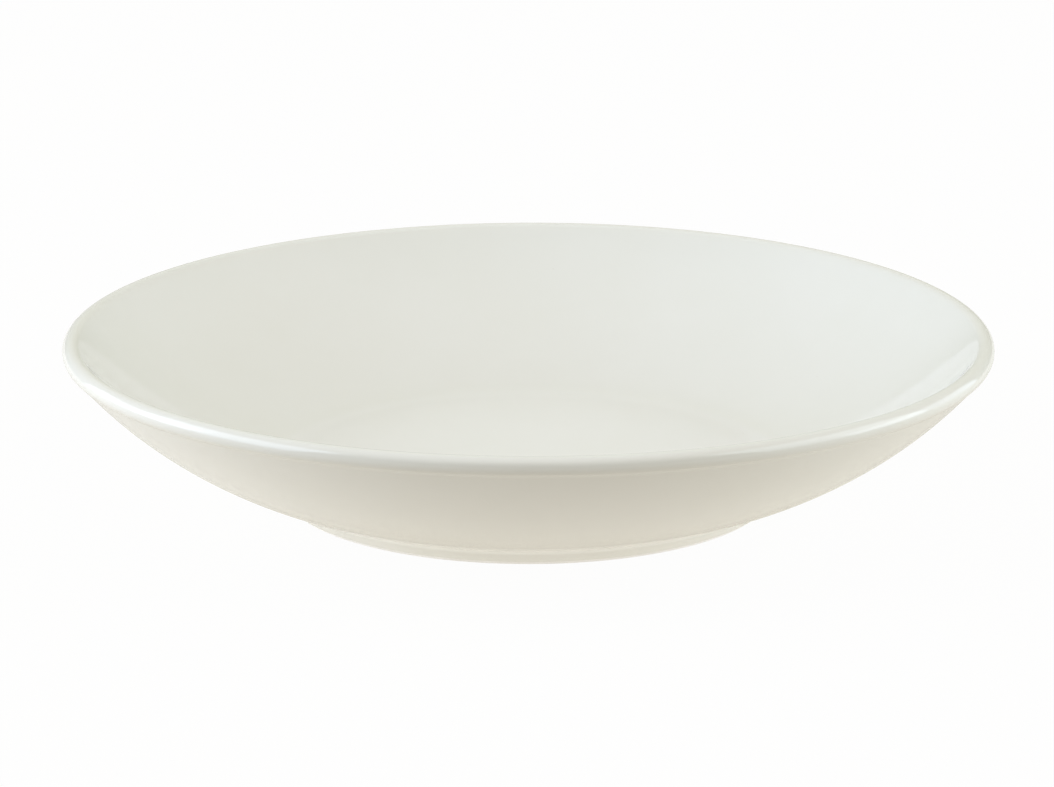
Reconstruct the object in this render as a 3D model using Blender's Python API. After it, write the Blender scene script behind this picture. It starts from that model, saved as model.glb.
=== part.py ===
"""A round porcelain soup plate of the coupe form: one fired body, with a glass glaze fired onto it.

The body is turned from one outline, drawn in the (radius, height) plane as arcs that meet tangent to tangent.
The glaze is a coat of even thickness on that same outline, so it follows every change of the body.
It stops short of the standing edge of the foot, which stays bare, and so it is two pieces of glass:
the coat over the top, the lip and the outside, and the disc inside the foot ring.

Metres, +Z up. The origin is the centre of the foot's standing plane.
"""

import math

import bpy
from mathutils import Vector

MM = 0.001

# Finished plate, with its glaze
PLATE_DIAMETER = 230 * MM
PLATE_HEIGHT = 42 * MM

# Fired body, without its glaze
WALL_THICKNESS = 3.7 * MM
WALL_BULGE = 4.65 * MM  # how far the wall's line bows out from a straight line
LIP_ROLL = 0.3 * MM  # how far the rolled lip stands proud of the outside of the wall
LIP_FILLET = 4 * MM  # under the lip
BASE_THICKNESS = 4.6 * MM
FLOOR_FILLET = 30 * MM  # between the floor and the wall

# Foot ring
FOOT_DIAMETER = 121.4 * MM  # over the outer edge that it stands on, before that edge is rounded
FOOT_WIDTH = 4.2 * MM  # of the standing edge, before it is rounded
FOOT_TAPER = math.radians(30)  # of both faces from upright, so the ring is wider at its root
FOOT_EDGE_ROUND = 0.9 * MM
FOOT_FILLET = 2.5 * MM  # between the foot and the wall
FOOT_RECESS = 3.3 * MM  # from the standing plane up to the underside of the base
RECESS_FILLET = 1.6 * MM  # between the foot and that underside
WALL_SPRING = 1.1 * MM  # from the foot's outer edge out to where the wall's line begins

# Glaze
GLAZE_THICKNESS = 0.3 * MM
GLAZE_BOND = 0.01 * MM  # clearance for the layer where the glass has melted into the porcelain
GLAZE_STOP = 0.6 * MM  # bare stretch between the end of the glaze and the rounded edge of the foot

# Facets
TURN_STEPS = 60
LIP_STEPS = (2, 4, 3)  # from the inner face to the top, on to the widest point, on to the fillet below
WALL_STEPS = 7
FLOOR_STEPS = 3
FILLET_STEPS = 2
SAME_POINT = 0.01 * MM  # points nearer than this are one point

PORCELAIN_COLOUR = (0.80, 0.78, 0.71, 1.0)
PORCELAIN_ROUGHNESS = 0.5
GLAZE_COLOUR = (0.77, 0.76, 0.68, 1.0)
GLAZE_ROUGHNESS = 0.08

UP = Vector((0, 1))
DOWN = Vector((0, -1))
OUT = Vector((1, 0))


class Outline:
    """A chain of points in the (radius, height) plane, each with the normal that points out of the body."""

    def __init__(self):
        self.points = []
        self.normals = []

    def add(self, point, normal):
        """One more point, unless it is the one that a stretch shares with the stretch before it."""
        point = Vector(point)
        if self.points and (point - self.points[-1]).length < SAME_POINT:
            return
        self.points.append(point)
        self.normals.append(Vector(normal).normalized())

    def arc(self, centre, radius, start, end, bulges_out, steps):
        """A round stretch, from the direction start to the direction end as seen from its centre.

        The chain runs clockwise round a stretch that bulges out of the body, and the other way in a hollow.
        """
        first = math.atan2(start.y, start.x)
        turn = math.atan2(end.y, end.x) - first
        turn = -(-turn % math.tau) if bulges_out else turn % math.tau
        for step in range(steps + 1):
            angle = first + turn * step / steps
            direction = Vector((math.cos(angle), math.sin(angle)))
            self.add(centre + radius * direction, direction if bulges_out else -direction)

    def offset(self, distance):
        """The points moved out of the body by a distance, as the surface of a coat on it."""
        return [point + distance * normal for point, normal in zip(self.points, self.normals)]


def circles_meet(centre_a, radius_a, centre_b, radius_b, near):
    """The one of the two points shared by two circles that lies nearer to the point near."""
    between = centre_b - centre_a
    span = between.length
    along = (radius_a**2 - radius_b**2 + span**2) / (2 * span)
    across = math.sqrt(radius_a**2 - along**2)
    middle = centre_a + between * (along / span)
    aside = Vector((-between.y, between.x)) * (across / span)
    return min(middle + aside, middle - aside, key=lambda point: (point - near).length)


def line_meets_circle(point, direction, centre, radius):
    """Where the line from point, along direction, first comes within radius of centre."""
    ahead = (centre - point).dot(direction)
    aside = (centre - point - ahead * direction).length
    return point + (ahead - math.sqrt(radius**2 - aside**2)) * direction


# The wall's line is one arc, from the base's middle plane to the centre of the lip. The inner face runs
# beside it at the lip's radius, so that it flows into the lip, and the outer face a wall's thickness beyond.
coat_build = GLAZE_BOND + GLAZE_THICKNESS
lip_radius = (WALL_THICKNESS + LIP_ROLL) / 2
lip_centre = Vector((PLATE_DIAMETER / 2, PLATE_HEIGHT)) - (coat_build + lip_radius) * (OUT + UP)
foot_edge = FOOT_DIAMETER / 2
wall_root = Vector((foot_edge + WALL_SPRING, FOOT_RECESS + BASE_THICKNESS / 2))
wall_chord = lip_centre - wall_root
wall_radius = wall_chord.length**2 / (8 * WALL_BULGE) + WALL_BULGE / 2
wall_inward = Vector((-wall_chord.y, wall_chord.x)).normalized()
wall_centre = (wall_root + lip_centre) / 2 + wall_inward * (wall_radius - WALL_BULGE)
inner_radius = wall_radius - lip_radius
outer_radius = inner_radius + WALL_THICKNESS
floor_height = FOOT_RECESS + BASE_THICKNESS


class FootFace:
    """One face of the foot ring, rising from its corner on the standing plane.

    outward is 1 for the outer face, and -1 for the face round the recess.
    """

    def __init__(self, outward):
        radius = foot_edge if outward > 0 else foot_edge - FOOT_WIDTH
        rounded = FOOT_EDGE_ROUND * math.tan((math.pi / 2 - FOOT_TAPER) / 2)
        self.corner = Vector((radius, 0))
        self.up = Vector((outward * math.sin(FOOT_TAPER), math.cos(FOOT_TAPER)))
        self.normal = Vector((outward * math.cos(FOOT_TAPER), -math.sin(FOOT_TAPER)))
        self.round_centre = Vector((radius - outward * rounded, FOOT_EDGE_ROUND))
        self.glaze_end = self.corner + (rounded + GLAZE_STOP) * self.up


def draw_inside(outline):
    """The floor, the hollow round it and the inner face of the wall, up to the lip."""
    height = floor_height + FLOOR_FILLET
    reach = inner_radius - FLOOR_FILLET
    across = math.sqrt(reach**2 - (height - wall_centre.y) ** 2)
    hollow = Vector((wall_centre.x + across, height))
    wall_start = hollow - wall_centre
    wall_end = lip_centre - wall_centre
    outline.add((0, floor_height), UP)
    outline.arc(hollow, FLOOR_FILLET, DOWN, wall_start, False, FLOOR_STEPS)
    outline.arc(wall_centre, inner_radius, wall_start, wall_end, False, WALL_STEPS)


def draw_lip(outline):
    """The rolled lip and the hollow under it. Returns where the outer face of the wall begins."""
    hollow = circles_meet(
        lip_centre,
        lip_radius + LIP_FILLET,
        wall_centre,
        outer_radius + LIP_FILLET,
        near=wall_root,
    )
    sides = [wall_centre - lip_centre, UP, OUT, hollow - lip_centre]
    for start, end, steps in zip(sides, sides[1:], LIP_STEPS):
        outline.arc(lip_centre, lip_radius, start, end, True, steps)
    outline.arc(hollow, LIP_FILLET, lip_centre - hollow, wall_centre - hollow, False, FILLET_STEPS)
    return hollow - wall_centre


def draw_outside(outline, wall_start):
    """The outer face of the wall and of the foot, down to the end of the glaze."""
    face = FootFace(outward=1)
    hollow = line_meets_circle(
        face.corner + FOOT_FILLET * face.normal,
        face.up,
        wall_centre,
        outer_radius + FOOT_FILLET,
    )
    wall_end = hollow - wall_centre
    outline.arc(wall_centre, outer_radius, wall_start, wall_end, True, WALL_STEPS)
    outline.arc(hollow, FOOT_FILLET, -wall_end, -face.normal, False, FILLET_STEPS)
    outline.add(face.glaze_end, face.normal)


def draw_standing_edge(outline):
    """The bare edge that the plate stands on: a flat ring between two rounded corners."""
    outer = FootFace(outward=1)
    inner = FootFace(outward=-1)
    outline.arc(outer.round_centre, FOOT_EDGE_ROUND, outer.normal, DOWN, True, FILLET_STEPS)
    outline.arc(inner.round_centre, FOOT_EDGE_ROUND, DOWN, inner.normal, True, FILLET_STEPS)


def draw_recess(outline):
    """The inner face of the foot and the underside of the base, in to the axis."""
    face = FootFace(outward=-1)
    beside = face.corner + RECESS_FILLET * face.normal
    climb = (FOOT_RECESS - RECESS_FILLET - beside.y) / face.up.y
    hollow = beside + climb * face.up
    outline.add(face.glaze_end, face.normal)
    outline.arc(hollow, RECESS_FILLET, -face.normal, UP, False, FILLET_STEPS)
    outline.add((0, FOOT_RECESS), DOWN)


def ceramic(name, colour, roughness):
    material = bpy.data.materials.new(name)
    material.use_nodes = True
    shader = material.node_tree.nodes["Principled BSDF"]
    shader.inputs["Base Color"].default_value = colour
    shader.inputs["Roughness"].default_value = roughness
    shader.inputs["Metallic"].default_value = 0.0
    return material


def turned(name, profile, material, plate):
    """A solid turned about the vertical axis, from a profile that runs down its outer side."""
    mesh = bpy.data.meshes.new(name)
    links = [(index, index + 1) for index in range(len(profile) - 1)]
    mesh.from_pydata([(point.x, 0, point.y) for point in profile], links, [])
    mesh.materials.append(material)
    solid = bpy.data.objects.new(name, mesh)
    bpy.context.scene.collection.objects.link(solid)
    solid.parent = plate
    turn = solid.modifiers.new("turn", "SCREW")
    turn.axis = "Z"
    turn.angle = math.tau
    turn.steps = TURN_STEPS
    turn.render_steps = TURN_STEPS
    turn.use_merge_vertices = True
    turn.merge_threshold = SAME_POINT
    turn.use_smooth_shade = True


def main():
    for old in list(bpy.data.objects):
        bpy.data.objects.remove(old)
    plate = bpy.data.objects.new("soup_plate", None)
    bpy.context.scene.collection.objects.link(plate)

    top = Outline()
    draw_inside(top)
    wall_start = draw_lip(top)
    draw_outside(top, wall_start)
    edge = Outline()
    draw_standing_edge(edge)
    recess = Outline()
    draw_recess(recess)

    porcelain = ceramic("bare_porcelain", PORCELAIN_COLOUR, PORCELAIN_ROUGHNESS)
    body = top.points + edge.points + recess.points
    turned("porcelain_body", body, porcelain, plate)

    ivory = ceramic("ivory_glaze", GLAZE_COLOUR, GLAZE_ROUGHNESS)
    coat = top.offset(coat_build) + top.offset(GLAZE_BOND)[::-1]
    turned("glaze_coat", coat, ivory, plate)

    base_ivory = ceramic("base_ivory_glaze", GLAZE_COLOUR, GLAZE_ROUGHNESS)
    disc = recess.offset(GLAZE_BOND)[::-1] + recess.offset(coat_build)
    turned("base_glaze", disc, base_ivory, plate)


main()
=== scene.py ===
# %% [markdown]
# # A glazed soup plate
# This lesson dresses one part: a round soup plate of glazed porcelain, with no flat rim, only a rolled lip.
# The real plate is one piece of clay, turned, fired, dipped in glaze and fired again.
# So there are three things to show: the bare body, the coat of glass over its top and outside, and a second
# pool of glass inside the foot ring. The bare edge that the plate stands on keeps the two glazes apart.
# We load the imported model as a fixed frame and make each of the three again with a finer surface.
# Then we finish them, light them and set a camera where the photograph was taken from.

# %% Load the frame
import math

import bpy
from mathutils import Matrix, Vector


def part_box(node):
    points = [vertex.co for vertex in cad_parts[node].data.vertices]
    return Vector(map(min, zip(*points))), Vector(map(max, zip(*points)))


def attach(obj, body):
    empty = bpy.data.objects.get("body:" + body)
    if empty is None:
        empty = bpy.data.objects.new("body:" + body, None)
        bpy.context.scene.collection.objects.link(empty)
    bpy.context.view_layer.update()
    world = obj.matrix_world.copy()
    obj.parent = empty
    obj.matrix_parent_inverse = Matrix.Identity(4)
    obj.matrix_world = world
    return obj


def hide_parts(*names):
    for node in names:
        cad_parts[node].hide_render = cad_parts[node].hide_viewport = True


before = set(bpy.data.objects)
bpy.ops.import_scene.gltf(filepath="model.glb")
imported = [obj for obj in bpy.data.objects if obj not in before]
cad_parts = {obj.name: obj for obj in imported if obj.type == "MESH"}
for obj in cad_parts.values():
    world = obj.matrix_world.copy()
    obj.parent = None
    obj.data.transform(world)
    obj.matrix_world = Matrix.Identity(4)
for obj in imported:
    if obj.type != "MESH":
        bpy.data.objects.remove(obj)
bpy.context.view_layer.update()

for node_name in sorted(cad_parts):
    print(node_name, "rides on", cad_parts[node_name])

# %% [markdown]
# ## Sizes
# A turned piece is one outline swung about an axis, so a handful of sizes says all of it.
# The width, the height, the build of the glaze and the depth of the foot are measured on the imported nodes.
# The others repeat the drawing of the plate, so that the fine surface lies on the solids within a hair.

# %% Sizes from the frame and from the drawing
MM = 0.001

coat_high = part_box("glaze_coat")[1]
body_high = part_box("porcelain_body")[1]
pool_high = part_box("base_glaze")[1]

GLAZE_BOND = 0.01 * MM  # the layer where the glass has melted into the porcelain
plate_radius = coat_high.x
plate_height = coat_high.z
coat_build = coat_high.z - body_high.z  # bond and glaze together
foot_recess = pool_high.z + GLAZE_BOND

WALL_THICKNESS = 3.7 * MM
WALL_BULGE = 4.65 * MM  # how far the wall's line bows out from a straight line
LIP_ROLL = 0.3 * MM  # how far the lip stands proud of the outside of the wall
LIP_FILLET = 4 * MM
BASE_THICKNESS = 4.6 * MM
FLOOR_FILLET = 30 * MM
FOOT_RADIUS = 60.7 * MM
FOOT_WIDTH = 4.2 * MM
FOOT_TAPER = math.radians(30)
FOOT_EDGE_ROUND = 0.9 * MM
FOOT_FILLET = 2.5 * MM
RECESS_FILLET = 1.6 * MM
WALL_SPRING = 1.1 * MM  # from the foot's outer edge out to where the wall's line begins
GLAZE_STOP = 0.6 * MM  # bare stretch between the glaze and the rounded edge of the foot

print(f"plate {2 * plate_radius / MM:.1f} mm across, {plate_height / MM:.1f} mm high")
print(f"glaze {coat_build / MM:.2f} mm with its bond, foot {foot_recess / MM:.2f} mm deep")

# %% [markdown]
# ## The outline
# The maker's template is a chain of round and straight stretches that meet without a corner, so we draw
# arcs and lines too.
# A subdivided curve could come close, but arcs keep each radius a number that can be read and changed.
# Each point keeps the normal that leaves the body, because a glaze is the same outline moved along it.
# It also keeps how sharply the outline bends there, which will tell the glaze where to run thin.

# %% A chain of arcs and straight stretches
FACET_TURN = math.radians(6)
FACET_LENGTH = 2 * MM
SAME_POINT = 0.001 * MM

UP = Vector((0, 1))
DOWN = Vector((0, -1))
OUT = Vector((1, 0))


class Outline:
    """Points in the (radius, height) plane, each with its normal out of the body and its bend, in 1/m."""

    def __init__(self):
        self.points = []
        self.normals = []
        self.bends = []

    def add(self, point, normal, bend=0.0):
        """One more point, unless it is the one that a stretch shares with the stretch before it."""
        if self.points and (point - self.points[-1]).length < SAME_POINT:
            return
        self.points.append(point)
        self.normals.append(normal.normalized())
        self.bends.append(bend)

    def line(self, end, normal):
        """A straight stretch from the last point."""
        start = self.points[-1]
        steps = max(1, math.ceil((end - start).length / FACET_LENGTH))
        for step in range(1, steps + 1):
            self.add(start.lerp(end, step / steps), normal)

    def arc(self, centre, radius, start, end, bulges_out):
        """A round stretch, between two directions seen from its centre, clockwise where it bulges out."""
        first = math.atan2(start.y, start.x)
        turn = math.atan2(end.y, end.x) - first
        turn = -(-turn % math.tau) if bulges_out else turn % math.tau
        side = 1 if bulges_out else -1
        steps = max(2, math.ceil(abs(turn) / FACET_TURN), math.ceil(abs(turn) * radius / FACET_LENGTH))
        for step in range(steps + 1):
            angle = first + turn * step / steps
            direction = Vector((math.cos(angle), math.sin(angle)))
            self.add(centre + radius * direction, side * direction, side / radius)

    def offset(self, distance):
        """The points moved out of the body, as the surface of a coat on it."""
        return [point + distance * normal for point, normal in zip(self.points, self.normals)]


print(f"round stretches turn at most {math.degrees(FACET_TURN):.0f} degrees a step")

# %% [markdown]
# ## Where the arcs sit
# The wall's line is one long arc, from the middle of the base to the centre of the lip.
# Its inner face flows into the lip, and its outer face meets the lip's roll in a small hollow.
# The foot has two straight faces that lean apart, with a rounded standing edge between them.
# The centres of the fillets follow from the two stretches that each one touches.

# %% The wall's line and the foot's faces
lip_radius = (WALL_THICKNESS + LIP_ROLL) / 2
lip_centre = Vector((plate_radius, plate_height)) - (coat_build + lip_radius) * (OUT + UP)
floor_height = foot_recess + BASE_THICKNESS
wall_root = Vector((FOOT_RADIUS + WALL_SPRING, foot_recess + BASE_THICKNESS / 2))
wall_chord = lip_centre - wall_root
wall_radius = wall_chord.length**2 / (8 * WALL_BULGE) + WALL_BULGE / 2
wall_inward = Vector((-wall_chord.y, wall_chord.x)).normalized()
wall_centre = (wall_root + lip_centre) / 2 + wall_inward * (wall_radius - WALL_BULGE)
inner_radius = wall_radius - lip_radius
outer_radius = inner_radius + WALL_THICKNESS


class FootFace:
    """One face of the foot ring: outward is 1 for its outer face and -1 for the face round the recess."""

    def __init__(self, outward):
        radius = FOOT_RADIUS if outward > 0 else FOOT_RADIUS - FOOT_WIDTH
        rounded = FOOT_EDGE_ROUND * math.tan((math.pi / 2 - FOOT_TAPER) / 2)
        self.corner = Vector((radius, 0))
        self.up = Vector((outward * math.sin(FOOT_TAPER), math.cos(FOOT_TAPER)))
        self.normal = Vector((outward * math.cos(FOOT_TAPER), -math.sin(FOOT_TAPER)))
        self.round_centre = Vector((radius - outward * rounded, FOOT_EDGE_ROUND))
        self.glaze_end = self.corner + (rounded + GLAZE_STOP + coat_build / 2) * self.up


outer_face = FootFace(1)
recess_face = FootFace(-1)
print(f"wall bent to {wall_radius / MM:.0f} mm, lip rolled to {lip_radius / MM:.2f} mm")

# %% Centres of the fillets


def circles_meet(centre_a, radius_a, centre_b, radius_b, near):
    """The one of the two points shared by two circles that lies nearer to the point near."""
    between = centre_b - centre_a
    span = between.length
    along = (radius_a**2 - radius_b**2 + span**2) / (2 * span)
    across = math.sqrt(radius_a**2 - along**2)
    middle = centre_a + between * (along / span)
    aside = Vector((-between.y, between.x)) * (across / span)
    return min(middle + aside, middle - aside, key=lambda point: (point - near).length)


def line_meets_circle(point, direction, centre, radius):
    """Where the line from point, along direction, first comes within radius of centre."""
    ahead = (centre - point).dot(direction)
    aside = (centre - point - ahead * direction).length
    return point + (ahead - math.sqrt(radius**2 - aside**2)) * direction


floor_hollow_height = floor_height + FLOOR_FILLET
floor_reach = inner_radius - FLOOR_FILLET
floor_across = math.sqrt(floor_reach**2 - (floor_hollow_height - wall_centre.y) ** 2)
floor_hollow = Vector((wall_centre.x + floor_across, floor_hollow_height))
lip_hollow = circles_meet(
    lip_centre, lip_radius + LIP_FILLET, wall_centre, outer_radius + LIP_FILLET, near=wall_root
)
foot_beside = outer_face.corner + FOOT_FILLET * outer_face.normal
foot_hollow = line_meets_circle(foot_beside, outer_face.up, wall_centre, outer_radius + FOOT_FILLET)
recess_beside = recess_face.corner + RECESS_FILLET * recess_face.normal
recess_climb = (foot_recess - RECESS_FILLET - recess_beside.y) / recess_face.up.y
recess_hollow = recess_beside + recess_climb * recess_face.up
print(f"floor flat to {floor_hollow.x / MM:.1f} mm from the axis")

# %% [markdown]
# ## Three runs of the outline
# The top run goes from the axis over the floor, up the wall, round the lip and down to where the glaze ends.
# The edge run is the bare standing edge. The recess run is the glazed hollow under the base.
# Drawn one after the other they close the body, and the first and last alone carry glaze.

# %% Draw the top, the edge and the recess
top = Outline()
top.add(Vector((0, floor_height)), UP)
top.line(Vector((floor_hollow.x, floor_height)), UP)
top.arc(floor_hollow, FLOOR_FILLET, DOWN, floor_hollow - wall_centre, False)
top.arc(wall_centre, inner_radius, floor_hollow - wall_centre, lip_centre - wall_centre, False)
lip_sides = [wall_centre - lip_centre, UP, OUT, lip_hollow - lip_centre]
for side_from, side_to in zip(lip_sides, lip_sides[1:]):
    top.arc(lip_centre, lip_radius, side_from, side_to, True)
top.arc(lip_hollow, LIP_FILLET, lip_centre - lip_hollow, wall_centre - lip_hollow, False)
top.arc(wall_centre, outer_radius, lip_hollow - wall_centre, foot_hollow - wall_centre, True)
top.arc(foot_hollow, FOOT_FILLET, wall_centre - foot_hollow, -outer_face.normal, False)
top.line(outer_face.glaze_end, outer_face.normal)

edge = Outline()
edge.arc(outer_face.round_centre, FOOT_EDGE_ROUND, outer_face.normal, DOWN, True)
edge.arc(recess_face.round_centre, FOOT_EDGE_ROUND, DOWN, recess_face.normal, True)

recess = Outline()
recess.add(recess_face.glaze_end, recess_face.normal)
recess.arc(recess_hollow, RECESS_FILLET, -recess_face.normal, UP, False)
recess.line(Vector((0, foot_recess)), DOWN)
print("outline points:", len(top.points), "top,", len(edge.points), "edge,", len(recess.points), "recess")

# %% [markdown]
# ## How the glaze lies
# Melted glaze is pulled off sharp edges and gathers in hollows before it sets.
# The outline knows both places: it bends out at the lip and in at the fillets.
# So each point gets a depth: 0 where the glaze runs thin, 1 where it gathers, and 0.5 where it lies even.
# The bends are blurred along the outline first, because glass levels over about a millimetre.

# %% Depth of the glaze along an outline
EVEN_DEPTH = 0.5
LEVEL_LENGTH = 0.9 * MM
LEVEL_STRENGTH = 2.5 * MM  # an outline bent to this radius is well on its way to thin or deep


def glaze_depths(outline):
    """The depth at each point of an outline, from its bends blurred along its length."""
    lengths = [0.0]
    for last, here in zip(outline.points, outline.points[1:]):
        lengths.append(lengths[-1] + (here - last).length)
    ends = [lengths[0], *lengths, lengths[-1]]
    shares = [(after - before) / 2 for before, after in zip(ends, ends[2:])]
    depths = []
    for here in lengths:
        reaches = [(there - here) / LEVEL_LENGTH for there in lengths]
        weights = [share * math.exp(-(reach**2) / 2) for share, reach in zip(shares, reaches)]
        bend = sum(weight * bend for weight, bend in zip(weights, outline.bends)) / sum(weights)
        depths.append(EVEN_DEPTH - EVEN_DEPTH * math.tanh(LEVEL_STRENGTH * bend))
    return depths


top_depths = glaze_depths(top)
recess_depths = glaze_depths(recess)
print(f"glaze depth from {min(top_depths):.2f} on the lip to {max(top_depths):.2f} in the hollows")

# %% [markdown]
# ## Turning with Geometry Nodes
# A Screw modifier would turn the outline, but the rim's sag would then need a second step.
# One tree can do both, with its sizes as named inputs.
# This tree lays a grid, with a column for each step of the turn and one more to close it, and a row for each
# point of the outline. Each grid point looks its outline point up by row and swings it to its column's angle.
# No fired plate is true: the rim sinks a little on two sides. The tree lowers it there by Rim Sag,
# the same way for all three pieces, so that glaze and body still fit.
# Merge by Distance closes the seam where the turn ends and the poles on the axis.

# %% Helpers that add a node


def add_node(tree, kind, inputs=None, **settings):
    """A new node: a socket given as an input is linked to it, and a plain value is set on it."""
    node = tree.nodes.new(kind)
    for name, value in settings.items():
        setattr(node, name, value)
    for name, value in (inputs or {}).items():
        if isinstance(value, bpy.types.NodeSocket):
            tree.links.new(value, node.inputs[name])
        else:
            node.inputs[name].default_value = value
    return node


def math_node(tree, operation, first, second=0.0):
    """The result of one operation on one or two numbers."""
    return add_node(tree, "ShaderNodeMath", {0: first, 1: second}, operation=operation).outputs[0]


def whole_math(tree, operation, first, second):
    """The result of one operation on two whole numbers."""
    return add_node(tree, "FunctionNodeIntegerMath", {0: first, 1: second}, operation=operation).outputs[0]


# %% Swing and sag
SAG_POWER = 2  # the sag grows with this power of the distance outside the foot


def sag_at(tree, given, radius, angle):
    """The change of height at a radius and an angle: none inside the foot, most on two sides of the rim."""
    twice = math_node(tree, "ADD", math_node(tree, "MULTIPLY", angle, 2), given["Sag Turn"])
    wave = math_node(tree, "SUBTRACT", math_node(tree, "COSINE", twice), 1)
    fall = math_node(tree, "MULTIPLY", wave, 0.5)  # from 0 down to -1, twice round
    outside = add_node(
        tree,
        "ShaderNodeMapRange",
        {"Value": radius, "From Min": given["Foot Radius"], "From Max": given["Rim Radius"]},
    ).outputs["Result"]
    share = math_node(tree, "POWER", outside, SAG_POWER)
    return math_node(tree, "MULTIPLY", math_node(tree, "MULTIPLY", fall, share), given["Rim Sag"])


def swung(tree, given, point, column):
    """A point of the outline, swung to the angle of a column and lowered by the sag."""
    step = math_node(tree, "DIVIDE", math.tau, given["Turn Steps"])
    angle = math_node(tree, "MULTIPLY", column, step)
    parts = add_node(tree, "ShaderNodeSeparateXYZ", {0: point}).outputs
    radius = parts["X"]
    place = {
        "X": math_node(tree, "MULTIPLY", radius, math_node(tree, "COSINE", angle)),
        "Y": math_node(tree, "MULTIPLY", radius, math_node(tree, "SINE", angle)),
        "Z": math_node(tree, "ADD", parts["Z"], sag_at(tree, given, radius, angle)),
    }
    return add_node(tree, "ShaderNodeCombineXYZ", place).outputs["Vector"]


# %% The turning tree
WELD = 0.0005 * MM
DEPTH_NAME = "glaze_depth"
TURNING_INPUTS = {
    "Profile": "NodeSocketGeometry",
    "Turn Steps": "NodeSocketInt",
    "Foot Radius": "NodeSocketFloat",
    "Rim Radius": "NodeSocketFloat",
    "Rim Sag": "NodeSocketFloat",
    "Sag Turn": "NodeSocketFloat",
    "Finish": "NodeSocketMaterial",
}


def looked_up(tree, profile, value, row, data_type):
    """A value of the outline, read at the point that a row of the grid stands for."""
    inputs = {"Geometry": profile, "Value": value, "Index": row}
    return add_node(tree, "GeometryNodeSampleIndex", inputs, data_type=data_type).outputs["Value"]


def turning_tree():
    """The tree that turns a profile about the axis."""
    tree = bpy.data.node_groups.new("turned_about_the_axis", "GeometryNodeTree")
    for name, kind in TURNING_INPUTS.items():
        tree.interface.new_socket(name, in_out="INPUT", socket_type=kind)
    tree.interface.new_socket("Turned", in_out="OUTPUT", socket_type="NodeSocketGeometry")
    given = tree.nodes.new("NodeGroupInput").outputs
    profile = given["Profile"]

    # The grid: index = column * rows + row
    size = add_node(tree, "GeometryNodeAttributeDomainSize", {"Geometry": profile})
    rows = size.outputs["Point Count"]
    columns = whole_math(tree, "ADD", given["Turn Steps"], 1)
    grid = add_node(tree, "GeometryNodeMeshGrid", {"Vertices X": columns, "Vertices Y": rows})
    index = tree.nodes.new("GeometryNodeInputIndex").outputs["Index"]
    column = whole_math(tree, "DIVIDE_FLOOR", index, rows)
    row = whole_math(tree, "MODULO", index, rows)

    # The outline's point and glaze depth for that row
    place = tree.nodes.new("GeometryNodeInputPosition").outputs["Position"]
    named = add_node(tree, "GeometryNodeInputNamedAttribute", {"Name": DEPTH_NAME}, data_type="FLOAT")
    point = looked_up(tree, profile, place, row, "FLOAT_VECTOR")
    depth = looked_up(tree, profile, named.outputs["Attribute"], row, "FLOAT")

    # Each node in turn takes the geometry of the one before it
    shape = grid.outputs["Mesh"]
    for kind, inputs in (
        ("GeometryNodeStoreNamedAttribute", {"Name": DEPTH_NAME, "Value": depth}),
        ("GeometryNodeSetPosition", {"Position": swung(tree, given, point, column)}),
        ("GeometryNodeMergeByDistance", {"Distance": WELD}),
        ("GeometryNodeSetShadeSmooth", {}),
        ("GeometryNodeRealizeInstances", {}),
        ("GeometryNodeSetMaterial", {"Material": given["Finish"]}),
    ):
        shape = add_node(tree, kind, {"Geometry": shape, **inputs}).outputs["Geometry"]
    add_node(tree, "NodeGroupOutput", {"Turned": shape})
    return tree


turning = turning_tree()
print("turning tree of", len(turning.nodes), "nodes")

# %% [markdown]
# ## Shared effects of the kiln
# Both glazes and the bare clay went through the same fire, so they share two effects, each a node group.
# The first gives soft clouds, where the ivory drifts a little in tone, and a few iron specks.
# The second gives a height: the slow ripple of set glass or the fine grain of bare clay, by its sizes.
# Groups keep each effect in one place, and each material sets its own sizes on them.

# %% Clouds and specks
SPECK_CORE = 0.4  # share of a speck's size that is fully dark


def kiln_marks_group():
    """Two masks: soft clouds, and round specks scattered one to a cell."""
    group = bpy.data.node_groups.new("kiln_marks", "ShaderNodeTree")
    group.interface.new_socket("Vector", in_out="INPUT", socket_type="NodeSocketVector")
    for name in ("Cloud Size", "Speck Spacing", "Speck Size"):
        group.interface.new_socket(name, in_out="INPUT", socket_type="NodeSocketFloat")
    for name in ("Cloud", "Speck"):
        group.interface.new_socket(name, in_out="OUTPUT", socket_type="NodeSocketFloat")
    given = group.nodes.new("NodeGroupInput").outputs
    cloud = add_node(
        group,
        "ShaderNodeTexNoise",
        {
            "Vector": given["Vector"],
            "Scale": math_node(group, "DIVIDE", 1.0, given["Cloud Size"]),
            "Detail": 3.0,
            "Roughness": 0.55,
        },
    )
    density = math_node(group, "DIVIDE", 1.0, given["Speck Spacing"])
    cells = add_node(group, "ShaderNodeTexVoronoi", {"Vector": given["Vector"], "Scale": density})
    reach = math_node(group, "MULTIPLY", given["Speck Size"], density)
    speck = add_node(
        group,
        "ShaderNodeMapRange",
        {
            "Value": cells.outputs["Distance"],
            "From Min": math_node(group, "MULTIPLY", reach, SPECK_CORE),
            "From Max": reach,
            "To Min": 1.0,
            "To Max": 0.0,
        },
        interpolation_type="SMOOTHSTEP",
    )
    add_node(group, "NodeGroupOutput", {"Cloud": cloud.outputs["Fac"], "Speck": speck.outputs["Result"]})
    return group


kiln_marks = kiln_marks_group()
print("kiln marks:", [socket.name for socket in kiln_marks.interface.items_tree])

# %% Ripple and grain


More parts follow.
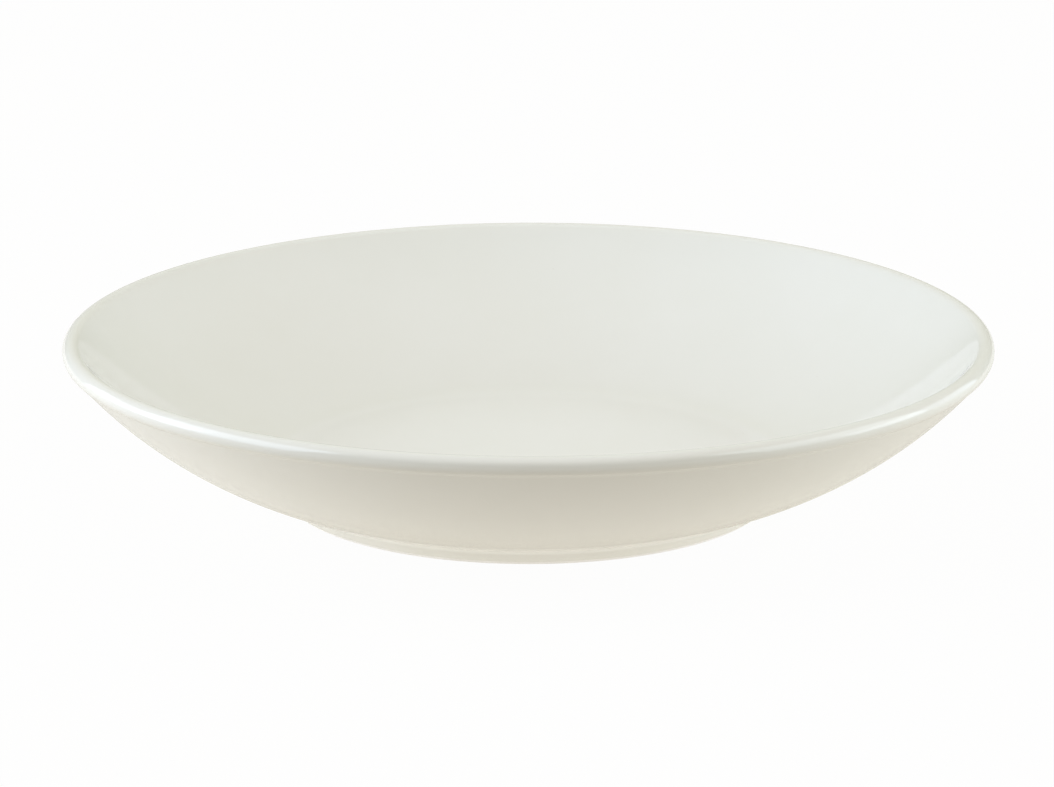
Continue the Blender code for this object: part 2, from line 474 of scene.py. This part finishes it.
def surface_relief_group():
    """A height made of a broad wave and a share of a fine one."""
    group = bpy.data.node_groups.new("surface_relief", "ShaderNodeTree")
    group.interface.new_socket("Vector", in_out="INPUT", socket_type="NodeSocketVector")
    for name in ("Broad Size", "Fine Size", "Fine Share"):
        group.interface.new_socket(name, in_out="INPUT", socket_type="NodeSocketFloat")
    group.interface.new_socket("Height", in_out="OUTPUT", socket_type="NodeSocketFloat")
    given = group.nodes.new("NodeGroupInput").outputs
    heights = []
    for size in ("Broad Size", "Fine Size"):
        noise = add_node(
            group,
            "ShaderNodeTexNoise",
            {
                "Vector": given["Vector"],
                "Scale": math_node(group, "DIVIDE", 1.0, given[size]),
                "Detail": 1.0,
                "Roughness": 0.5,
            },
        )
        heights.append(noise.outputs["Fac"])
    fine = math_node(group, "MULTIPLY", heights[1], given["Fine Share"])
    add_node(group, "NodeGroupOutput", {"Height": math_node(group, "ADD", heights[0], fine)})
    return group


surface_relief = surface_relief_group()
print("surface relief:", [socket.name for socket in surface_relief.interface.items_tree])

# %% [markdown]
# ## The ivory glaze
# The glaze is a milky ivory glass.
# Where it is thin, along the lip, it takes up some iron from the clay and turns a little darker and warmer.
# Where it gathers, in the hollow round the foot, the ramp makes it paler: partly the thicker milk, and partly
# painted light for the bright glow that reaches the foot from the table.
# A colour ramp on the depth says exactly that, and the kiln's clouds and specks break it up.
# The gloss is a plain dielectric one: glass reflects little face on and much at a glancing angle.

# %% Helpers for a material


def ceramic(name):
    """A new material, with its tree, its shader and the Object coordinates that its patterns read."""
    material = bpy.data.materials.new(name)
    material.use_nodes = True
    tree = material.node_tree
    shader = tree.nodes["Principled BSDF"]
    place = tree.nodes.new("ShaderNodeTexCoord").outputs["Object"]
    return material, tree, shader, place


def place_group(tree, group, place, **values):
    """A copy of a shared effect in a material, with its own values."""
    node = add_node(tree, "ShaderNodeGroup", node_tree=group)
    tree.links.new(place, node.inputs["Vector"])
    for name, value in values.items():
        node.inputs[name.replace("_", " ").title()].default_value = value
    return node


def tone_ramp(tree, factor, stops):
    """Colours along a value, from a list of (place, colour)."""
    node = add_node(tree, "ShaderNodeValToRGB", {"Fac": factor})
    ramp = node.color_ramp
    while len(ramp.elements) < len(stops):
        ramp.elements.new(0.5)
    for element, (position, colour) in zip(ramp.elements, stops):
        element.position = position
        element.color = (*colour, 1.0)
    return node.outputs["Color"]


def mixed(tree, factor, first, second, blend="MIX"):
    """Two colours mixed by a factor. A Mix node keeps its colour sockets at these places."""
    inputs = {0: factor, 6: first, 7: second}
    return add_node(tree, "ShaderNodeMix", inputs, data_type="RGBA", blend_type=blend).outputs[2]


def stretched(tree, value, low, high):
    """A value from 0 to 1 stretched to run from low to high."""
    node = add_node(tree, "ShaderNodeMapRange", {"Value": value, "To Min": low, "To Max": high})
    return node.outputs["Result"]


def raised(tree, shader, relief, height):
    """Bump on a shader, from a relief that is height deep."""
    inputs = {"Strength": 1.0, "Distance": height, "Height": relief.outputs["Height"]}
    bump = add_node(tree, "ShaderNodeBump", inputs)
    tree.links.new(bump.outputs["Normal"], shader.inputs["Normal"])


# %% Ivory glaze
GLAZE_IOR = 1.5
DEPTH_STOPS = (0.1, 0.45, 0.74, 0.85)  # thin up to the first, even between the middle two, deep past the last
CLOUD_DRIFT = [(0.3, (0.985, 0.985, 0.975)), (0.7, (1.0, 1.0, 1.0))]
GLAZE_SPECK = (0.36, 0.29, 0.20, 1.0)
GLAZE_SPECK_STRENGTH = 0.5
RIPPLE_HEIGHT = 0.006 * MM


def glazed(name, thin, even, deep, gloss):
    """A glaze: its tone where thin, even and deep, and the least and most of its roughness."""
    material, tree, shader, place = ceramic(name)
    depth = add_node(tree, "ShaderNodeAttribute", attribute_name=DEPTH_NAME).outputs["Fac"]
    marks = place_group(
        tree, kiln_marks, place, cloud_size=34 * MM, speck_spacing=13 * MM, speck_size=0.22 * MM
    )
    # The deep tone is paler than the even one: partly the thicker milk, partly painted light that brightens
    # the hollow round the foot.
    tone = tone_ramp(tree, depth, list(zip(DEPTH_STOPS, (thin, even, even, deep))))
    tone = mixed(tree, 1.0, tone, tone_ramp(tree, marks.outputs["Cloud"], CLOUD_DRIFT), "MULTIPLY")
    speck = math_node(tree, "MULTIPLY", marks.outputs["Speck"], GLAZE_SPECK_STRENGTH)
    tree.links.new(mixed(tree, speck, tone, GLAZE_SPECK), shader.inputs["Base Color"])
    tree.links.new(stretched(tree, marks.outputs["Cloud"], *gloss), shader.inputs["Roughness"])
    relief = place_group(
        tree, surface_relief, place, broad_size=9 * MM, fine_size=1.6 * MM, fine_share=0.12
    )
    raised(tree, shader, relief, RIPPLE_HEIGHT)
    shader.inputs["IOR"].default_value = GLAZE_IOR
    return material


ivory_glaze = glazed(
    "ivory_glaze",
    thin=(0.748, 0.735, 0.667),
    even=(0.755, 0.745, 0.68),
    # deep: paler, partly painted light in the hollow round the foot
    deep=(0.83, 0.82, 0.765),
    gloss=(0.05, 0.09),
)
print("ivory glaze with", len(ivory_glaze.node_tree.nodes), "nodes")

# %% [markdown]
# ## The coat over the plate
# The coat is the top run of the outline at two offsets: out at the surface of the glass, in at the bond.
# Joined end to end they close into one thin shell, and a small half round ends it on the foot,
# because melted glass draws itself round where it stops.
# The tree turns it, and the result is kept as a plain mesh, which is what the export reads.

# %% Turn a profile
TURN_STEPS = 240
RIM_SAG = 0.65 * MM
SAG_TURN = math.radians(-154)  # where round the plate the two low sides are


def turned(name, profile, depths, finish):
    """A piece turned from a profile, which runs clockwise round its section."""
    mesh = bpy.data.meshes.new(name)
    links = [(index, index + 1) for index in range(len(profile) - 1)]
    mesh.from_pydata([(point.x, 0, point.y) for point in profile], links, [])
    mesh.attributes.new(DEPTH_NAME, "FLOAT", "POINT").data.foreach_set("value", depths)
    piece = bpy.data.objects.new(name, mesh)
    bpy.context.scene.collection.objects.link(piece)
    modifier = piece.modifiers.new("turning", "NODES")
    modifier.node_group = turning
    values = {
        "Turn Steps": TURN_STEPS,
        "Foot Radius": wall_root.x,
        "Rim Radius": plate_radius,
        "Rim Sag": RIM_SAG,
        "Sag Turn": SAG_TURN,
        "Finish": finish,
    }
    for socket in turning.interface.items_tree:
        if socket.in_out == "INPUT" and socket.name in values:
            modifier[socket.identifier] = values[socket.name]
    seen = piece.evaluated_get(bpy.context.evaluated_depsgraph_get())
    made = bpy.data.meshes.new_from_object(seen)
    piece.modifiers.clear()
    piece.data = made
    bpy.data.meshes.remove(mesh)
    made.name = name
    print(name, "has", len(made.vertices), "points and", len(made.polygons), "faces")
    return piece


print(f"pieces turn in {TURN_STEPS} steps, and the rim sinks by {RIM_SAG / MM:.2f} mm")

# %% Turn the coat
END_STEPS = 6


def rounded_end(point, normal, ahead):
    """The points of the half round that ends a glaze, from its surface round to its bond."""
    radius = (coat_build - GLAZE_BOND) / 2
    centre = point + (GLAZE_BOND + radius) * normal
    turns = [math.pi * step / END_STEPS for step in range(1, END_STEPS)]
    return [centre + radius * (math.cos(turn) * normal + math.sin(turn) * ahead) for turn in turns]


coat_end = rounded_end(top.points[-1], top.normals[-1], -outer_face.up)
coat_bond = top.offset(GLAZE_BOND)[::-1]
coat_profile = top.offset(coat_build) + coat_end + coat_bond
coat_depths = top_depths + [EVEN_DEPTH] * (len(coat_end) + len(coat_bond))
ivory_coat = turned("ivory_glaze_coat", coat_profile, coat_depths, ivory_glaze)
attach(ivory_coat, "root")
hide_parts("glaze_coat")

# %% [markdown]
# ## The glaze inside the foot
# The hollow under the base is dipped with the rest, so it has the same glass.
# It lies over the recess run of the outline, which starts at the foot, so its half round comes first.
# Nobody polishes this side, so its gloss is a little lower and its ivory a little duller.

# %% Turn the glaze inside the foot
base_ivory_glaze = glazed(
    "base_ivory_glaze",
    thin=(0.715, 0.69, 0.615),
    even=(0.745, 0.73, 0.665),
    deep=(0.79, 0.78, 0.72),
    gloss=(0.09, 0.16),
)
pool_end = rounded_end(recess.points[0], recess.normals[0], -recess_face.up)[::-1]
pool_bond = recess.offset(GLAZE_BOND)[::-1]
pool_profile = pool_bond + pool_end + recess.offset(coat_build)
pool_depths = [EVEN_DEPTH] * (len(pool_bond) + len(pool_end)) + recess_depths
foot_glaze = turned("ivory_foot_glaze", pool_profile, pool_depths, base_ivory_glaze)
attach(foot_glaze, "root")
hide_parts("base_glaze")

# %% [markdown]
# ## The porcelain body
# Under the glaze the body is one fired piece, and only the standing edge of its foot stays bare.
# There it is matt and finely grained, and use has rubbed the flat ring darker in patches.
# We turn the whole body and not just that ring, because the real one is whole.

# %% Bare porcelain
RUB_HEIGHT = 0.35 * MM  # above the table, where the rubbing ends
RUB_STRENGTH = 0.5
RUBBED_GREY = (0.42, 0.40, 0.37, 1.0)
CLAY_TONES = [(0.3, (0.79, 0.775, 0.725)), (0.7, (0.85, 0.84, 0.80))]
CLAY_SPECK = (0.33, 0.27, 0.20, 1.0)
CLAY_SPECK_STRENGTH = 0.45
CLAY_ROUGHNESS = (0.62, 0.42)  # in the dark of a cloud and in its light
GRAIN_HEIGHT = 0.02 * MM


def bare_porcelain_material():
    """Matt clay in cloudy tones, greyer in patches where it rubs on the table."""
    material, tree, shader, place = ceramic("bare_porcelain")
    marks = place_group(
        tree, kiln_marks, place, cloud_size=7 * MM, speck_spacing=3 * MM, speck_size=0.12 * MM
    )
    cloud = marks.outputs["Cloud"]
    height = add_node(tree, "ShaderNodeSeparateXYZ", {0: place}).outputs["Z"]
    near_table = add_node(
        tree,
        "ShaderNodeMapRange",
        {"Value": height, "From Min": 0.0, "From Max": RUB_HEIGHT, "To Min": RUB_STRENGTH, "To Max": 0.0},
    ).outputs["Result"]
    rubbed = math_node(tree, "MULTIPLY", near_table, cloud)
    tone = mixed(tree, rubbed, tone_ramp(tree, cloud, CLAY_TONES), RUBBED_GREY)
    speck = math_node(tree, "MULTIPLY", marks.outputs["Speck"], CLAY_SPECK_STRENGTH)
    tree.links.new(mixed(tree, speck, tone, CLAY_SPECK), shader.inputs["Base Color"])
    tree.links.new(stretched(tree, cloud, *CLAY_ROUGHNESS), shader.inputs["Roughness"])
    relief = place_group(
        tree, surface_relief, place, broad_size=0.5 * MM, fine_size=0.16 * MM, fine_share=0.6
    )
    raised(tree, shader, relief, GRAIN_HEIGHT)
    return material


bare_porcelain = bare_porcelain_material()
print("bare porcelain with", len(bare_porcelain.node_tree.nodes), "nodes")

# %% Turn the body
body_profile = top.points + edge.points + recess.points
body_depths = [EVEN_DEPTH] * len(body_profile)
plate_body = turned("porcelain_plate_body", body_profile, body_depths, bare_porcelain)
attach(plate_body, "root")
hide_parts("porcelain_body")

# %% [markdown]
# ## The floor
# The plate stands on a pale table that glows most in a long round about its foot, as if lit from both sides.
# That is what keeps the foot and the sides of the wall so bright in the photograph, while the lip in front
# is dim. The glow is cream, which warms them, and away from the plate it fades to about half.
# Seen directly, the table is mostly a plain white of strength 1, which is the background.
# The rest of what is seen is cream paper in the light of the room, so the plate still throws a faint shadow.
# Mirrored in the glaze the table is the same white and the same paper, with a larger share of the paper.
# So the plate's lower edges mirror a cream table at a glancing angle and stand out from the background.

# %% The glow of the table
GLOW_NEAR = (1.0, 0.965, 0.915, 1.0)
GLOW_FAR = (0.475, 0.44, 0.385, 1.0)
GLOW_INNER = 60 * MM  # from its centre toward the camera, where the near glow begins to fade
GLOW_OUTER = 190 * MM  # where only the far glow is left
GLOW_STRETCH = 2.2  # how much longer the glow is from side to side
GLOW_SHIFT = 20 * MM  # of its centre, toward the stronger left box


def table_glow(tree):
    """The colour that the table glows with, from near its centre out to the far glow."""
    place = tree.nodes.new("ShaderNodeTexCoord").outputs["Object"]
    from_centre = add_node(
        tree, "ShaderNodeVectorMath", {0: place, 1: (GLOW_SHIFT, 0, 0)}, operation="ADD"
    ).outputs["Vector"]
    drawn_in = add_node(
        tree, "ShaderNodeVectorMath", {0: from_centre, 1: (1 / GLOW_STRETCH, 1, 1)}, operation="MULTIPLY"
    ).outputs["Vector"]
    away = add_node(tree, "ShaderNodeVectorMath", {0: drawn_in}, operation="LENGTH").outputs["Value"]
    fade = add_node(
        tree,
        "ShaderNodeMapRange",
        {"Value": away, "From Min": GLOW_INNER, "From Max": GLOW_OUTER},
        interpolation_type="SMOOTHSTEP",
    ).outputs["Result"]
    return mixed(tree, fade, GLOW_NEAR, GLOW_FAR)


print(f"glow fades out {GLOW_OUTER / MM:.0f} mm in front and {GLOW_OUTER * GLOW_STRETCH / MM:.0f} mm aside")

# %% Floor
FLOOR_REACH = 12.0
TABLE_GREY = (0.14, 0.135, 0.13, 1.0)
TABLE_ROUGHNESS = 0.9
TABLE_SPECULAR = 0.1
PAPER_CREAM = (0.72, 0.69, 0.62, 1.0)
PLAIN_WHITE = (1.0, 1.0, 1.0, 1.0)
PLAIN_WHITE_SHARE = 0.96  # seen directly
MIRRORED_WHITE_SHARE = 0.15  # mirrored in the glaze


def pale_floor_material():
    """The glowing table, and the white and the paper that stand in for it where it is seen or mirrored."""
    material = bpy.data.materials.new("pale_floor")
    material.use_nodes = True
    tree = material.node_tree
    table = tree.nodes["Principled BSDF"]
    table.inputs["Base Color"].default_value = TABLE_GREY
    table.inputs["Roughness"].default_value = TABLE_ROUGHNESS
    table.inputs["Specular IOR Level"].default_value = TABLE_SPECULAR
    table.inputs["Emission Strength"].default_value = 1.0
    tree.links.new(table_glow(tree), table.inputs["Emission Color"])
    paper = add_node(tree, "ShaderNodeBsdfDiffuse", {"Color": PAPER_CREAM}).outputs[0]
    white = add_node(tree, "ShaderNodeEmission", {"Color": PLAIN_WHITE, "Strength": 1.0}).outputs[0]
    path = tree.nodes.new("ShaderNodeLightPath").outputs
    share = stretched(tree, path["Is Camera Ray"], MIRRORED_WHITE_SHARE, PLAIN_WHITE_SHARE)
    backdrop = add_node(tree, "ShaderNodeMixShader", {0: share, 1: paper, 2: white}).outputs[0]
    seen = math_node(tree, "MAXIMUM", path["Is Camera Ray"], path["Is Glossy Ray"])
    seen = math_node(tree, "MAXIMUM", seen, path["Is Transmission Ray"])
    both = add_node(tree, "ShaderNodeMixShader", {0: seen, 1: table.outputs["BSDF"], 2: backdrop})
    tree.links.new(both.outputs["Shader"], tree.nodes["Material Output"].inputs["Surface"])
    return material


floor_sides = [(-1, -1), (1, -1), (1, 1), (-1, 1)]
floor_corners = [(x * FLOOR_REACH, y * FLOOR_REACH, 0) for x, y in floor_sides]
floor_mesh = bpy.data.meshes.new("pale_floor")
floor_mesh.from_pydata(floor_corners, [], [(0, 1, 2, 3)])
floor_mesh.materials.append(pale_floor_material())
pale_floor = bpy.data.objects.new("pale_floor", floor_mesh)
bpy.context.scene.collection.objects.link(pale_floor)
print("floor reaches", FLOOR_REACH, "m each way")

# %% [markdown]
# ## The light
# The lip tells where the light was: broad and white on its left, a little weaker on its right, dim in front.
# So two large soft boxes stand at the sides, a little toward the camera. The inside of the wall mirrors the
# back of the room at a glancing angle, so a large box behind would show inside the plate.
# Two low boxes, further back, add the streaks on the lip.
# A ceiling that is brightest overhead and toward the camera, two side walls and a back wall fill the rest in.
# The world makes them, as lobes that fade out smoothly all round, because lamps in their place
# would show as patches with edges inside the plate.

# %% Lamps
PLATE_MIDDLE = Vector((0, 0, plate_height / 2))
SOFT_BOXES = {
    "left_box": {
        "place": (-1.25, -0.2, 0.6),
        "size": (1.4, 1.1),
        "colour": (0.745, 0.845, 1.0),
        "power": 17.6,
    },
    "right_box": {
        "place": (1.25, -0.2, 0.6),
        "size": (1.4, 1.1),
        "colour": (0.78, 0.91, 1.0),
        "power": 12.0,
    },
    "low_left_box": {
        "place": (-1.3, 0.4, 0.36),
        "size": (1.2, 0.7),
        "colour": (0.84, 0.82, 1.0),
        "power": 4.9,
    },
    "low_right_box": {
        "place": (1.3, 0.4, 0.31),
        "size": (1.4, 0.6),
        "colour": (0.74, 0.84, 1.0),
        "power": 4.2,
    },
}

for name, box in SOFT_BOXES.items():
    lamp = bpy.data.lights.new(name, "AREA")
    lamp.shape = "RECTANGLE"
    lamp.size, lamp.size_y = box["size"]
    lamp.color = box["colour"]
    lamp.energy = box["power"]
    stand = bpy.data.objects.new(name, lamp)
    stand.location = box["place"]
    stand.rotation_euler = (PLATE_MIDDLE - stand.location).to_track_quat("-Z", "Y").to_euler()
    bpy.context.scene.collection.objects.link(stand)
    print(name, "at", box["place"], "m,", box["power"], "W")

# %% World
ROOM_LOBES = {
    "overhead": {"toward": (0, 0, 1), "colour": (0.59, 0.55, 0.56)},
    "over_camera": {"toward": (0, -0.423, 0.906), "colour": (0.70, 0.67, 0.61)},
    "left_wall": {"toward": (-0.866, 0, 0.5), "colour": (0.435, 0.47, 0.44)},
    "right_wall": {"toward": (0.866, 0, 0.5), "colour": (0.52, 0.42, 0.35)},
    "back_wall": {"toward": (0, 0.94, 0.342), "colour": (0.59, 0.60, 0.475)},
}
LOBE_POWER = 4.0  # a lobe fades with this power of the cosine from its direction


def room_light():
    """A world whose light is the sum of the lobes."""
    world = bpy.data.worlds.new("quiet_room")
    world.use_nodes = True
    room = world.node_tree
    direction = room.nodes.new("ShaderNodeTexCoord").outputs["Generated"]
    light = (0, 0, 0)
    for lobe in ROOM_LOBES.values():
        facing = add_node(
            room, "ShaderNodeVectorMath", {0: direction, 1: lobe["toward"]}, operation="DOT_PRODUCT"
        ).outputs["Value"]
        share = math_node(room, "POWER", math_node(room, "MAXIMUM", facing, 0.0), LOBE_POWER)
        light = add_node(
            room, "ShaderNodeVectorMath", {0: lobe["colour"], 1: share, 2: light}, operation="MULTIPLY_ADD"
        ).outputs["Vector"]
    room.links.new(light, room.nodes["Background"].inputs["Color"])
    return world


bpy.context.scene.world = room_light()
bpy.context.scene.view_settings.view_transform = "Standard"
print("room lit from", ", ".join(ROOM_LOBES))

# %% [markdown]
# ## The camera
# The photograph looks down on the plate by about 16 degrees, through a long lens.
# Fitting the outline of the plate to the photographed edges gave that angle and the scale.
# The distance is a guess, which hardly changes the picture through so long a lens.
# The camera aims a little above the plate's middle, so that the plate sits as low in the frame as in the
# photograph.

# %% Camera
PHOTO_WIDTH = 1054
PHOTO_HEIGHT = 787
CAMERA_RISE = math.radians(15.85)
CAMERA_DISTANCE = 1100 * MM
CAMERA_TARGET = Vector((0, 0, 20 * MM))
TARGET_PIXEL = Vector((528.4, 413.5))  # where the target lies in the photograph
PIXELS_PER_METRE = 4014  # at the target
SENSOR_WIDTH = 36.0

camera_data = bpy.data.cameras.new("photograph_view")
camera_data.sensor_width = SENSOR_WIDTH
camera_data.lens = SENSOR_WIDTH * PIXELS_PER_METRE * CAMERA_DISTANCE / PHOTO_WIDTH
camera_back = Vector((0, -math.cos(CAMERA_RISE), math.sin(CAMERA_RISE)))
camera_up = Vector((0, math.sin(CAMERA_RISE), math.cos(CAMERA_RISE)))
camera_place = CAMERA_TARGET + CAMERA_DISTANCE * camera_back
off_centre = (Vector((PHOTO_WIDTH, PHOTO_HEIGHT)) / 2 - TARGET_PIXEL) / PIXELS_PER_METRE
camera_aim = CAMERA_TARGET + Vector((off_centre.x, 0, 0)) - off_centre.y * camera_up
camera = bpy.data.objects.new("photograph_view", camera_data)
camera.location = camera_place
camera.rotation_euler = (camera_aim - camera_place).to_track_quat("-Z", "Y").to_euler()
bpy.context.scene.collection.objects.link(camera)
bpy.context.scene.camera = camera
print(f"camera {camera_data.lens:.0f} mm lens at {tuple(round(value, 3) for value in camera_place)} m")
